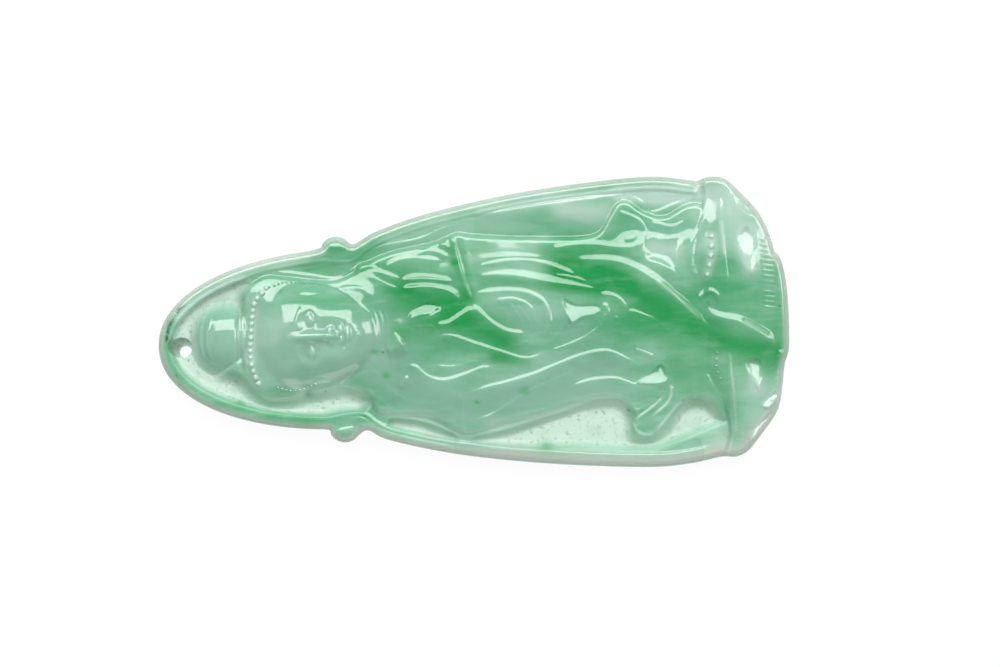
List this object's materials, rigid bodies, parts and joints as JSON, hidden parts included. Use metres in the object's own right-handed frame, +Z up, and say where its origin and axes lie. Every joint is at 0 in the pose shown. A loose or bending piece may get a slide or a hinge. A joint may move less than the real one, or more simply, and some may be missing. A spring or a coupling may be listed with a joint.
{
  "type": "jadeite guanyin pendant",
  "caption": "Carved jadeite pendant: a robed standing figure in low relief under a plain halo, on a lotus base, with a cord hole at the tip and a flat back.",
  "frame": {"origin": "centre of the bounding box on the flat back, on which the pendant lies", "axes": "+X from the halo's tip to the lotus base, +Y across the stone, +Z up out of the carved face"},
  "size_m": [0.058, 0.0267, 0.0058],
  "materials": {
    "jadeite": "polished, translucent stone"
  },
  "bodies": {
    "root": {"pendant": "jadeite"}
  },
  "joints": []
}
